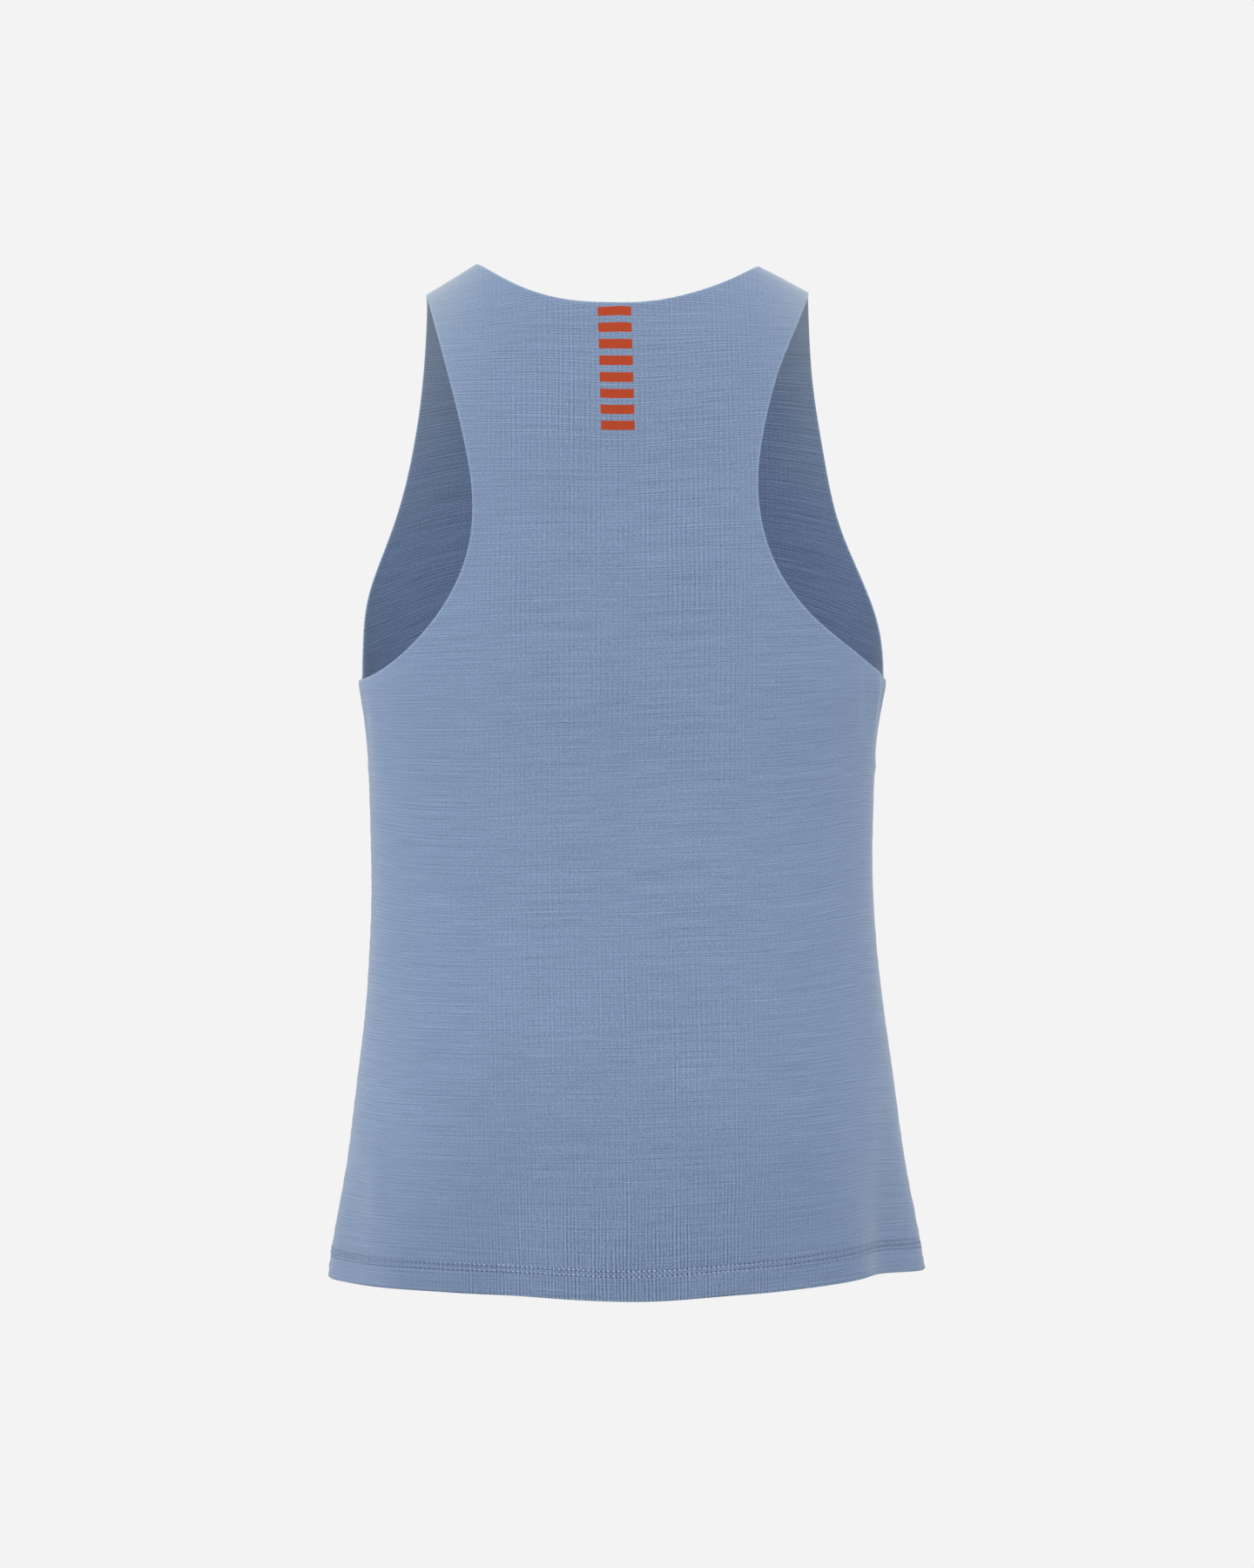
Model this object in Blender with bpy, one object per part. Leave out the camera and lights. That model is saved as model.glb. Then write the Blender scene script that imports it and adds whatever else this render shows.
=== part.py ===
"""Sleeveless tennis top, filled out as if worn, in thin jersey: a back panel and a front panel.

Frame: +Z up, the front faces -Y and the wearer's left is +X. The origin lies midway between the two
shoulder straps, at the height of their middle, where the shoulders carry the garment.

Below the armholes the form is a stack of horizontal rings, each a superellipse. Above them the top ring
rises over the chest and the back to the shoulder line, closing in depth as it climbs. A point of either
panel is named by its turn round the ring, from 0 at its left side seam to 180 degrees at its right one,
and by its height, from 0 at the hem, through 1 at the underarm, to 2 at the shoulder seam. The wall is
even: its inner face lies the cloth's thickness inside the outer one.
"""

import bpy
import numpy as np

# Cloth, in metres like every other size
CLOTH = 0.0012  # one layer of jersey
SEAM_GAP = 0.0003  # between the two panels along the side and shoulder seams
HEM_FOLD = 0.0200  # height of the turned-up hem, which is two layers thick
HEM_STEP = 0.0015  # height over which the second layer ends

# Heights above the middle of the straps
HEM_Z = -0.6088
UNDERARM_Z = -0.2460
NECK_POINT_Z = 0.0090  # where the left shoulder seam meets the neckline
NECK_POINT_DROP = 0.0015  # how much lower the right one does
BACK_NECK_Z = -0.0215
FRONT_NECK_Z = -0.1180

# Shoulder seams: half widths at their ends, and the fall of the right and the left one outwards
NECK_POINT_X = 0.0870
STRAP_END_X = 0.1170
SHOULDER_FALLS = (0.507, 0.617)
LEAN = 0.0026  # how far the straps and neckline stand to the wearer's left

# How sharply each neckline turns up to its left and its right neck point
BACK_NECK_POWERS = (2.60, 2.08)
FRONT_NECK_POWERS = (2.50, 2.50)

# How square the form is seen from the side above the underarm: 2 is an ellipse, and more is squarer
BACK_RISE_POWER = 2.20  # from the shoulder blades to the seam
FRONT_RISE_POWER = 1.85  # from the bust to the seam

# Rings of the body: height, half width, middle, depth of each panel, and how square each is from above
RING_COLUMNS = ("z", "half_width", "middle", "back", "front", "back_square", "front_square")
RINGS = (
    (-0.6088, 0.1832, -0.0033, 0.1270, 0.1170, 1.85, 1.90),
    (-0.5900, 0.1802, -0.0030, 0.1290, 0.1170, 1.88, 1.92),
    (-0.5550, 0.1735, -0.0029, 0.1300, 0.1160, 1.95, 1.98),
    (-0.5100, 0.1668, -0.0025, 0.1280, 0.1140, 2.02, 2.08),
    (-0.4500, 0.1592, -0.0019, 0.1180, 0.1105, 2.10, 2.20),
    (-0.4000, 0.1547, -0.0010, 0.1080, 0.1085, 2.14, 2.30),
    (-0.3500, 0.1535, -0.0002, 0.1010, 0.1090, 2.18, 2.40),
    (-0.3000, 0.1552, -0.0001, 0.1000, 0.1150, 2.22, 2.50),
    (-0.2700, 0.1578, -0.0003, 0.1026, 0.1184, 2.24, 2.53),
    (-0.2560, 0.1600, -0.0005, 0.1037, 0.1197, 2.25, 2.55),
    (-0.2460, 0.1613, -0.0006, 0.1040, 0.1200, 2.25, 2.55),
)

# How much higher the hem hangs at a place round the body: 0 left side seam, 90 centre back, 180 right
# side seam, 270 centre front
HEM_COLUMNS = ("place_deg", "lift")
HEM_LIFTS = (
    (0.0, -0.0006),
    (25.0, -0.0002),
    (43.0, 0.0009),
    (60.0, 0.0001),
    (75.0, -0.0004),
    (90.0, -0.0010),
    (110.0, 0.0011),
    (120.0, 0.0021),
    (128.0, 0.0035),
    (140.0, 0.0060),
    (155.0, 0.0052),
    (170.0, 0.0034),
    (185.0, 0.0032),
    (205.0, 0.0040),
    (235.0, 0.0022),
    (270.0, -0.0012),
    (305.0, -0.0004),
    (335.0, 0.0004),
    (360.0, -0.0006),
)

# Armhole edges from underarm to strap end: turn from the nearer side seam, and height
ARMHOLE_COLUMNS = ("turn_deg", "z")
BACK_LEFT_ARMHOLE = (
    (0.0, -0.2460),
    (18.9, -0.2452),
    (38.6, -0.2309),
    (49.2, -0.2081),
    (56.0, -0.1770),
    (58.0, -0.1460),
    (55.5, -0.0989),
    (51.4, -0.0583),
    (47.3, -0.0095),
)
BACK_RIGHT_ARMHOLE = (
    (0.0, -0.2460),
    (9.8, -0.2450),
    (23.8, -0.2381),
    (38.8, -0.2231),
    (51.2, -0.2004),
    (58.4, -0.1697),
    (61.0, -0.1310),
    (58.9, -0.0912),
    (55.2, -0.0588),
    (50.7, -0.0334),
    (47.3, -0.0095),
)
FRONT_LEFT_ARMHOLE = (
    (0.0, -0.2460),
    (8.0, -0.2425),
    (14.5, -0.2300),
    (19.5, -0.2090),
    (25.5, -0.1840),
    (34.9, -0.1448),
    (41.2, -0.1011),
    (44.8, -0.0586),
    (48.3, -0.0095),
)
FRONT_RIGHT_ARMHOLE = (
    (0.0, -0.2460),
    (7.0, -0.2425),
    (14.0, -0.2270),
    (20.1, -0.2113),
    (30.4, -0.1777),
    (38.1, -0.1445),
    (43.1, -0.1009),
    (46.2, -0.0583),
    (48.3, -0.0095),
)

# Soft folds: place round the body, depth outwards, half width round the body, and the heights where
# each is deepest and gone. The last two are the front's fullness below the armholes, which goes on
# above them
FOLD_COLUMNS = ("place_deg", "depth", "spread_deg", "deep_z", "gone_z")
FOLDS = (
    (19.0, -0.0030, 13.0, -0.610, -0.500),
    (41.0, 0.0030, 12.0, -0.610, -0.480),
    (65.0, -0.0070, 16.0, -0.610, -0.460),
    (95.0, 0.0060, 18.0, -0.610, -0.500),
    (138.0, 0.0040, 13.0, -0.610, -0.470),
    (157.0, -0.0110, 17.0, -0.610, -0.470),
    (201.0, -0.0030, 15.0, -0.610, -0.480),
    (224.0, 0.0040, 14.0, -0.610, -0.430),
    (249.0, -0.0060, 17.0, -0.610, -0.400),
    (274.0, 0.0040, 15.0, -0.610, -0.450),
    (297.0, -0.0070, 17.0, -0.610, -0.420),
    (321.0, 0.0040, 14.0, -0.610, -0.460),
    (341.0, -0.0030, 14.0, -0.610, -0.500),
    (203.0, 0.0030, 15.0, -0.246, -0.340),
    (336.0, 0.0045, 15.0, -0.246, -0.340),
)

# Grid
SEAM_ROWS = 16  # up the side seam, from the top of the hem fold to the underarm
ARMHOLE_ROWS = 22  # up the armhole, from the underarm to the shoulder seam
NECK_CELLS = 12  # from the centre line to the neck point
STRAP_CELLS = 5  # across a strap
EDGE_PULL = 1.6  # how fast the rows leave the height of their ends, away from the edges
ROW_LAG = 1.6  # how far the middle of a row stays below its ends
NECK_DROP = 1.2  # how late the rows start to sink towards the neckline
NECK_LEAN = 0.35  # how much of the lean of the armhole is left in the columns at the neck points

JERSEY = ((0.235, 0.302, 0.445, 1.0), 0.85)  # linear base colour and roughness


def column(table, names, name):
    """One named column of a short table, as an array."""
    return np.array([row[names.index(name)] for row in table], float)


def spline(knots, values, at, ends=(None, None)):
    """Cubic spline through the knots, which rise, read at any places. Each end has the slope given for
    it, or else no bend."""
    knots, values, at = (np.asarray(a, float) for a in (knots, values, at))
    step = np.diff(knots)
    slope = np.diff(values) / step
    count = len(knots)
    system = np.eye(count)
    right = np.zeros(count)
    for i in range(1, count - 1):
        system[i, i - 1 : i + 2] = step[i - 1], 2 * (step[i - 1] + step[i]), step[i]
        right[i] = 6 * (slope[i] - slope[i - 1])
    if ends[0] is not None:
        system[0, :2] = 2 * step[0], step[0]
        right[0] = 6 * (slope[0] - ends[0])
    if ends[1] is not None:
        system[-1, -2:] = step[-1], 2 * step[-1]
        right[-1] = 6 * (ends[1] - slope[-1])
    bend = np.linalg.solve(system, right)
    i = np.clip(np.searchsorted(knots, at) - 1, 0, count - 2)
    h, t = step[i], at - knots[i]
    return (
        values[i]
        + t * (slope[i] - h * (2 * bend[i] + bend[i + 1]) / 6)
        + t**2 * bend[i] / 2
        + t**3 * (bend[i + 1] - bend[i]) / (6 * h)
    )


def ring_size(name, z):
    """A measure of the rings at any height. Its slope is nil at the underarm, and it keeps that value
    above it."""
    z = np.clip(z, HEM_Z, UNDERARM_Z)
    heights = column(RINGS, RING_COLUMNS, "z")
    return spline(heights, column(RINGS, RING_COLUMNS, name), z, (None, 0.0))


def superellipse(angle, power):
    """Across and up on a unit superellipse, at an angle from across. Both keep their sign."""
    size = (np.abs(np.cos(angle)) ** power + np.abs(np.sin(angle)) ** power) ** (-1 / power)
    return np.cos(angle) * size, np.sin(angle) * size


def angle_at(share, power):
    """The angle, under 90 degrees, at which a unit superellipse is that share of the way across."""
    share = np.clip(share, 1e-9, 1)
    return np.arctan2((1 - share**power) ** (1 / power), share)


def shoulder_z(x):
    """Height of the shoulder line across the body: straight on a strap, and rounded between them."""
    share = np.clip(x / NECK_POINT_X, -1, 1)
    crest = NECK_POINT_Z - NECK_POINT_DROP * (1 - share) / 2
    past = np.maximum(np.abs(x) - NECK_POINT_X, 0)
    between = np.maximum(NECK_POINT_X**2 - x**2, 0) / (2 * NECK_POINT_X)
    return crest + np.interp(share, (-1, 1), SHOULDER_FALLS) * (between - past)


def fold_depth(place, z):
    """How far the folds push the cloth outwards, at a place round the body in radians."""
    depth = np.zeros(np.broadcast(place, z).shape)
    for at, deepest, spread, deep_z, gone_z in FOLDS:
        away = (np.degrees(place) - at + 180) % 360 - 180
        along = np.clip((gone_z - z) / (gone_z - deep_z), 0, 1)
        depth += deepest * np.exp(-2 * (away / spread) ** 2) * along**2 * (3 - 2 * along)
    return depth


class Panel:
    """One panel: which way it faces, its neckline, its armholes and how it rises to the shoulder."""

    def __init__(self, side, facing, rise_power, neck_z, neck_powers, armholes):
        self.side = side
        self.facing = facing  # +1 at the back, -1 at the front
        self.half = float(ring_size("half_width", UNDERARM_Z))
        self.square = float(ring_size(side + "_square", UNDERARM_Z))
        self.middle = float(ring_size("middle", UNDERARM_Z))
        self.rise_power = rise_power
        self.neck_z = neck_z
        self.neck_powers = neck_powers  # left and right, like the armholes
        self.armholes = armholes

    def surface(self, turn, height):
        """Points at a turn in radians and a height: 0 at the hem, 1 at the underarm, 2 at the seam."""
        ring = HEM_Z + (UNDERARM_Z - HEM_Z) * np.minimum(height, 1)
        rise = np.maximum(height - 1, 0) * np.pi / 2
        place = turn if self.facing > 0 else 2 * np.pi - turn
        push = fold_depth(place, ring)
        across, out = superellipse(turn, ring_size(self.side + "_square", ring))
        closed, climbed = superellipse(rise, self.rise_power)
        x = (ring_size("half_width", ring) + push) * across
        y = (ring_size(self.side, ring) + push) * out * closed
        lifts = (column(HEM_LIFTS, HEM_COLUMNS, name) for name in HEM_COLUMNS)
        lift = spline(*lifts, np.degrees(place), (0.0, 0.0)) * np.maximum(1 - height, 0) ** 2
        z = ring + lift + (shoulder_z(x) - UNDERARM_Z) * climbed
        lean = np.where(height > 1, LEAN + (self.middle - LEAN) * closed, ring_size("middle", ring))
        return np.stack([x + lean, self.facing * (y + SEAM_GAP / 2), z], axis=-1)

    def outwards(self, turn, height):
        """Unit normals of the surface, in the plane of any seam that they lie on."""
        nudge = 1e-4
        round_it = self.surface(turn + nudge, height) - self.surface(turn - nudge, height)
        up_it = self.surface(turn, height + nudge) - self.surface(turn, height - nudge)
        normal = self.facing * np.cross(round_it, up_it)
        on_seam = (turn < 1e-9) | (turn > np.pi - 1e-9) | (height > 2 - 1e-9)
        normal[on_seam, 1] = 0
        return normal / np.linalg.norm(normal, axis=-1, keepdims=True)

    def height_at(self, climbed):
        """The height at which a share of the climb from underarm to shoulder line is reached."""
        return np.where(climbed >= 1, 2.0, 2 - angle_at(climbed, self.rise_power) / (np.pi / 2))

    def neckline(self, turn):
        """The height at which a turn meets the neckline; past the neck points it is the seam's."""
        x = self.half * superellipse(turn, self.square)[0]
        share = np.abs(x) / NECK_POINT_X
        neck_point_z = shoulder_z(np.sign(x) * NECK_POINT_X)
        z = self.neck_z + (neck_point_z - self.neck_z) * share ** np.where(x > 0, *self.neck_powers)
        z = np.where(share > 1 - 1e-9, shoulder_z(x), z)
        return self.height_at((z - UNDERARM_Z) / (shoulder_z(x) - UNDERARM_Z))

    def armhole(self, side, share):
        """Turn and height of the armhole's edge at a share of its length, from underarm to strap."""
        table = self.armholes[0 if side > 0 else 1]
        turn = np.radians(column(table, ARMHOLE_COLUMNS, "turn_deg"))
        z = column(table, ARMHOLE_COLUMNS, "z")
        turn[-1] = angle_at(STRAP_END_X / self.half, self.square)
        z[-1] = shoulder_z(side * STRAP_END_X)
        length = np.concatenate([[0], np.cumsum(np.hypot(np.diff(turn) * self.half, np.diff(z)))])
        length /= length[-1]
        turn = spline(length, turn, share)
        z = spline(length, z, share, (0.0, None))
        x = side * self.half * superellipse(turn, self.square)[0]
        climbed = np.where(share >= 1, 1.0, (z - UNDERARM_Z) / (shoulder_z(x) - UNDERARM_Z))
        return turn, self.height_at(climbed)


def grid(panel):
    """Turn and height of the panel's points, rows by columns, from hem to top and from left to right.

    The ends of a row follow the side seam and then the armhole. Away from them it sinks to its share of
    the column's own height, so that the rows meet the bottom of the armhole from below.
    """
    strap_end, neck_point = (
        angle_at(x / panel.half, panel.square) for x in (STRAP_END_X, NECK_POINT_X)
    )
    strap = (neck_point - strap_end) / (np.pi / 2 - strap_end)
    left = np.concatenate(
        [np.linspace(0, strap, STRAP_CELLS + 1), np.linspace(strap, 1, NECK_CELLS + 1)[1:]]
    )
    across = np.concatenate([left, 2 - left[-2::-1]])[None, :] / 2

    fold = (HEM_FOLD + HEM_STEP) / (UNDERARM_Z - HEM_Z)
    seam = np.linspace(fold, 1, SEAM_ROWS + 1)
    edge = np.linspace(0, 1, ARMHOLE_ROWS + 1)[1:]
    up = np.linspace(0, 1, SEAM_ROWS + ARMHOLE_ROWS + 1)[:, None] ** ROW_LAG
    turns, heights = [], []
    for side in (1, -1):
        turn, height = panel.armhole(side, edge)
        turns.append(np.concatenate([np.zeros(SEAM_ROWS + 1), turn])[:, None])
        heights.append(np.concatenate([seam, height])[:, None])
    near = np.abs(1 - 2 * across)
    held = np.interp(near, (0, 1 - strap, 1), (0, NECK_LEAN, 1))
    turn = turns[0][-1] + (np.pi - turns[1][-1] - turns[0][-1]) * across
    for side, edge_turn in zip((1, -1), turns):
        lean = edge_turn - edge_turn[-1]
        lean = np.minimum(lean, 0) * near + np.maximum(lean, 0) * held
        turn = turn + side * lean * (side * (0.5 - across) > 0)
    ends = np.where(across < 0.5, *heights)
    even = fold + (2 - fold) * up
    drop = np.maximum(2 - panel.neckline(turn[-1:]), 1e-9)
    height = even - drop * up ** (NECK_DROP / drop) + near**EDGE_PULL * (ends - even)

    low = np.array([0, HEM_FOLD / 2, HEM_FOLD])[:, None] / (UNDERARM_Z - HEM_Z)
    height = np.concatenate([np.broadcast_to(low, (3, across.size)), height])
    turn = np.concatenate([np.broadcast_to(turn[:1], (3, across.size)), turn])
    return turn, height


def material(name, finish):
    colour, roughness = finish
    made = bpy.data.materials.new(name)
    made.use_nodes = True
    shader = made.node_tree.nodes["Principled BSDF"]
    shader.inputs["Base Color"].default_value = colour
    shader.inputs["Roughness"].default_value = roughness
    shader.inputs["Metallic"].default_value = 0.0
    made.diffuse_color = colour
    return made


def wall(name, outer, inner, finish):
    """A closed wall between two grids of the same shape, with its faces outwards."""
    rows, columns, _ = outer.shape
    points = np.concatenate([outer.reshape(-1, 3), inner.reshape(-1, 3)])
    near = np.arange(rows * columns).reshape(rows, columns)
    far = near + rows * columns

    def face(a):
        return np.stack([a[:-1, :-1], a[:-1, 1:], a[1:, 1:], a[1:, :-1]], axis=-1).reshape(-1, 4)

    def rim(a, b):
        return np.stack([a[:-1], b[:-1], b[1:], a[1:]], axis=-1)

    faces = np.concatenate(
        [
            face(near),
            face(far)[:, ::-1],
            rim(near[0], far[0]),
            rim(near[-1, ::-1], far[-1, ::-1]),
            rim(near[::-1, 0], far[::-1, 0]),
            rim(near[:, -1], far[:, -1]),
        ]
    )
    a, b, c, d = (points[faces[:, k]] for k in range(4))
    volume = (a * (np.cross(b, c) + np.cross(c, d))).sum()
    if volume < 0:
        faces = faces[:, ::-1]
    mesh = bpy.data.meshes.new(name)
    mesh.from_pydata(points.tolist(), [], faces.tolist())
    mesh.shade_smooth()
    mesh.set_sharp_from_angle(angle=np.radians(50))
    made = bpy.data.objects.new(name, mesh)
    made.data.materials.append(finish)
    bpy.context.scene.collection.objects.link(made)
    return made


def main():
    for old in list(bpy.data.objects):
        bpy.data.objects.remove(old)
    jersey = material("jersey", JERSEY)
    back_armholes = (BACK_LEFT_ARMHOLE, BACK_RIGHT_ARMHOLE)
    front_armholes = (FRONT_LEFT_ARMHOLE, FRONT_RIGHT_ARMHOLE)
    for panel in (
        Panel("back", 1, BACK_RISE_POWER, BACK_NECK_Z, BACK_NECK_POWERS, back_armholes),
        Panel("front", -1, FRONT_RISE_POWER, FRONT_NECK_Z, FRONT_NECK_POWERS, front_armholes),
    ):
        turn, height = grid(panel)
        outer = panel.surface(turn, height)
        thick = np.where(height <= HEM_FOLD / (UNDERARM_Z - HEM_Z) + 1e-9, 2 * CLOTH, CLOTH)
        inner = outer - thick[..., None] * panel.outwards(turn, height)
        wall(panel.side + "_panel", outer, inner, jersey)


main()
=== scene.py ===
import bpy
import numpy as np
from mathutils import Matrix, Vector


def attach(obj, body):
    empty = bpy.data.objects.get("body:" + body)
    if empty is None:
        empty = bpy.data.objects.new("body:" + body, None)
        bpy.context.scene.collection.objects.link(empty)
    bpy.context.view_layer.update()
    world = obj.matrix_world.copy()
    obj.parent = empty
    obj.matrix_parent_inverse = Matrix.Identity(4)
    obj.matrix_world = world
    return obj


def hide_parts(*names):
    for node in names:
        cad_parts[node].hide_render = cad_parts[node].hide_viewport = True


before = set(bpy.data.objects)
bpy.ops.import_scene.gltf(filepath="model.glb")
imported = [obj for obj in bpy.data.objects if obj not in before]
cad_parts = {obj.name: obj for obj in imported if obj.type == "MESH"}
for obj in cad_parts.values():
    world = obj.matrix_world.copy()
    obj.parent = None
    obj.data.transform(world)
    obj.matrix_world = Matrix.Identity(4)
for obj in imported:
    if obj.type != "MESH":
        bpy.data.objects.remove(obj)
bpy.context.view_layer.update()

# The form is the garment's own: horizontal rings below the armholes, and above them the top ring
# closing in depth as it climbs to the shoulder line. A point of a panel has a turn round the ring, from
# 0 at its left side seam to pi at its right one, and a level: its height on the centre line, in metres.
hemZ, underarmZ, crestZ = -0.6088, -0.2460, 0.0090
form = {
    "crestDrop": 0.0015, "shoulderFalls": (0.507, 0.617), "neckPointX": 0.0870, "strapEndX": 0.1170,
    "lean": 0.0026, "seamGap": 0.0003, "cloth": 0.0010, "hemFold": 0.0200,
}
ringColumns = ("z", "halfWidth", "middle", "back", "front", "backSquare", "frontSquare")
rings = (
    (-0.6088, 0.1832, -0.0033, 0.127, 0.117, 1.85, 1.9),
    (-0.59, 0.1802, -0.003, 0.129, 0.117, 1.88, 1.92),
    (-0.555, 0.1735, -0.0029, 0.13, 0.116, 1.95, 1.98),
    (-0.51, 0.1668, -0.0025, 0.128, 0.114, 2.02, 2.08),
    (-0.45, 0.1592, -0.0019, 0.118, 0.1105, 2.1, 2.2),
    (-0.4, 0.1547, -0.001, 0.108, 0.1085, 2.14, 2.3),
    (-0.35, 0.1535, -0.0002, 0.101, 0.109, 2.18, 2.4),
    (-0.3, 0.1552, -0.0001, 0.1, 0.115, 2.22, 2.5),
    (-0.27, 0.1578, -0.0003, 0.1026, 0.1184, 2.24, 2.53),
    (-0.256, 0.16, -0.0005, 0.1037, 0.1197, 2.25, 2.55),
    (-0.246, 0.1613, -0.0006, 0.104, 0.12, 2.25, 2.55),
)
# How much higher the hem hangs at each turn round the body, in degrees and metres
hemLifts = (
    (0, -0.0006), (25, -0.0002), (43, 0.0009), (60, 0.0001), (75, -0.0004), (90, -0.001),
    (110, 0.0011), (120, 0.0021), (128, 0.0035), (140, 0.006), (155, 0.006), (170, 0.0044),
    (185, 0.0032), (205, 0.004), (235, 0.0022), (270, -0.0012), (305, -0.0004), (335, 0.0004),
    (360, -0.0006),
)
# Largest folds: degrees round the body, depth outwards, half width in degrees, deepest and gone heights
largeFolds = (
    (19, -0.003, 13, -0.61, -0.5),
    (41, 0.003, 12, -0.61, -0.48),
    (65, -0.007, 16, -0.61, -0.46),
    (95, 0.006, 18, -0.61, -0.5),
    (138, 0.004, 13, -0.61, -0.47),
    (157, -0.011, 17, -0.61, -0.47),
    (201, -0.003, 15, -0.61, -0.48),
    (224, 0.004, 14, -0.61, -0.43),
    (249, -0.006, 17, -0.61, -0.4),
    (274, 0.004, 15, -0.61, -0.45),
    (297, -0.007, 17, -0.61, -0.42),
    (321, 0.004, 14, -0.61, -0.46),
    (341, -0.003, 14, -0.61, -0.5),
    (203, 0.003, 15, -0.246, -0.34),
    (336, 0.0045, 15, -0.246, -0.34),
)

# Creases: turn in degrees and height of the middle, lean from upright in degrees, length, half width,
# depth outwards and bow sideways, in metres
creaseColumns = ("turn", "z", "lean", "length", "width", "depth", "bow")
# Knit courses by height up the cloth: how far they lie below level is a polynomial of the distance
# from the centre line, a part that starts 60 mm out, a sag under the neck and a fall along the straps
courseColumns = ("up", "lean", "square", "cube", "fourth", "edge", "sag", "strap")
backCloth = {
    "name": "backCloth",
    "side": "back",
    "facing": 1,
    "risePower": 2.20,
    "neckZ": -0.0215,
    "neckPowers": (2.60, 2.08),
    # armhole edges, left and right: degrees from the side seam, and height
    "armholes": (
        (
            (0, -0.246), (18.9, -0.2452), (38.6, -0.2309), (49.2, -0.2081), (56, -0.177),
            (58, -0.146), (55.5, -0.0989), (51.4, -0.0583), (47.3, -0.0095),
        ),
        (
            (0, -0.246), (9.8, -0.245), (23.8, -0.2381), (38.8, -0.2231), (51.2, -0.2004),
            (58.4, -0.1697), (61, -0.131), (58.9, -0.0912), (55.2, -0.0588), (50.7, -0.0334),
            (47.3, -0.0095),
        ),
    ),
    "courses": (
        (0.03, 0.01, 0, 0, 0, 0, 0, 0),
        (0.09, 0.019, 0.4, -0.45, -10, 0, 0, 0),
        (0.16, 0.019, 0.45, -0.45, -16, 0, 0, 0),
        (0.24, 0.02, 0.52, -0.5, -24, 0, 0, 0),
        (0.32, 0.024, 0.52, -0.55, -21, 0, 0, 0),
        (0.37, 0.026, 0.42, -0.5, -9, 0, 0, 0),
        (0.45, 0.018, 0.2, 0, -10, 0, 0, 0),
        (0.49, 0.018, 0, 0, 0, 0, 0.001, 0),
        (0.54, 0.018, 0, 0, 0, 0, 0.004, 0),
        (0.57, 0.014, 0, 0, 0, 0, 0.003, 0.02),
        (0.615, 0.01, 0, 0, 0, 0, 0, 0.14),
        (0.645, 0.01, 0, 0, 0, 0, 0, 0.26),
    ),
    "creases": (
        (153.5, -0.257, 3, 0.072, 0.0052, -0.0012, 0),
        (161.5, -0.257, 3, 0.068, 0.0034, 0.0013, 0),
        (170, -0.258, 4, 0.06, 0.0026, -0.0011, 0),
        (176, -0.2985, 88, 0.034, 0.003, 0.0007, 0),
        (13, -0.268, 9, 0.06, 0.006, -0.0008, -0.003),
        (24, -0.285, 16, 0.085, 0.01, 0.0009, 0.005),
        (90, -0.33, 2, 0.3, 0.028, -0.0016, 0.004),
        (70, -0.505, 7, 0.15, 0.016, -0.001, 0.005),
        (113, -0.52, -5, 0.13, 0.014, 0.001, -0.004),
        (31, -0.545, 4, 0.11, 0.012, 0.0014, 0.003),
        (150, -0.54, -6, 0.12, 0.013, 0.0005, -0.003),
        (55, -0.375, 62, 0.11, 0.01, -0.0006, 0.006),
        (132, -0.39, -55, 0.12, 0.011, -0.0007, -0.006),
        (64, -0.06, -38, 0.055, 0.007, 0.0006, 0.002),
        (118, -0.065, 41, 0.05, 0.007, 0.0006, -0.002),
    ),
}
frontCloth = {
    "name": "frontCloth",
    "side": "front",
    "facing": -1,
    "risePower": 1.85,
    "neckZ": -0.1180,
    "neckPowers": (2.50, 2.50),
    "armholes": (
        (
            (0, -0.246), (8, -0.2425), (14.5, -0.23), (19.5, -0.209), (25.5, -0.184),
            (34.9, -0.1448), (41.2, -0.1011), (44.8, -0.0586), (48.3, -0.0095),
        ),
        (
            (0, -0.246), (5, -0.243), (11, -0.229), (19, -0.2113), (30.4, -0.1777),
            (38.1, -0.1445), (43.1, -0.1009), (46.2, -0.0583), (48.3, -0.0095),
        ),
    ),
    "courses": (
        (0.03, -0.006, 0, 0, 0, 0, 0, 0),
        (0.2, -0.01, 0.3, 0.2, -9, 0, 0, 0),
        (0.3, -0.008, 0.2, 0.2, -4, 1, 0, 0),
        (0.385, 0, 0, 0, 0, 6, 0, 0),
        (0.45, 0, 0, 0, 0, 4.6, 0.001, 0),
        (0.53, 0, 0, 0, 0, 4, 0.003, 0),
        (0.58, 0, 0, 0, 0, 1, 0.002, 0.02),
        (0.62, 0, 0, 0, 0, 0, 0, 0.14),
    ),
    "creases": (
        (17, -0.262, 48, 0.09, 0.008, -0.0014, 0.006),
        (24, -0.28, 58, 0.11, 0.01, 0.001, 0.008),
        (165, -0.26, -44, 0.085, 0.0075, -0.0013, -0.006),
        (154, -0.283, -60, 0.12, 0.011, 0.001, -0.008),
        (90, -0.25, 1, 0.16, 0.026, -0.0016, 0.003),
        (66, -0.4, 8, 0.19, 0.017, 0.0014, 0.006),
        (108, -0.42, -4, 0.21, 0.016, 0.0013, -0.005),
        (88, -0.48, 3, 0.17, 0.015, -0.0012, 0.004),
        (38, -0.5, 5, 0.15, 0.014, 0.0013, 0.005),
        (140, -0.51, -6, 0.14, 0.013, 0.0012, -0.004),
        (62, -0.11, -30, 0.06, 0.008, 0.0007, 0.003),
        (119, -0.115, 33, 0.055, 0.008, 0.0007, -0.003),
    ),
}
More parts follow.
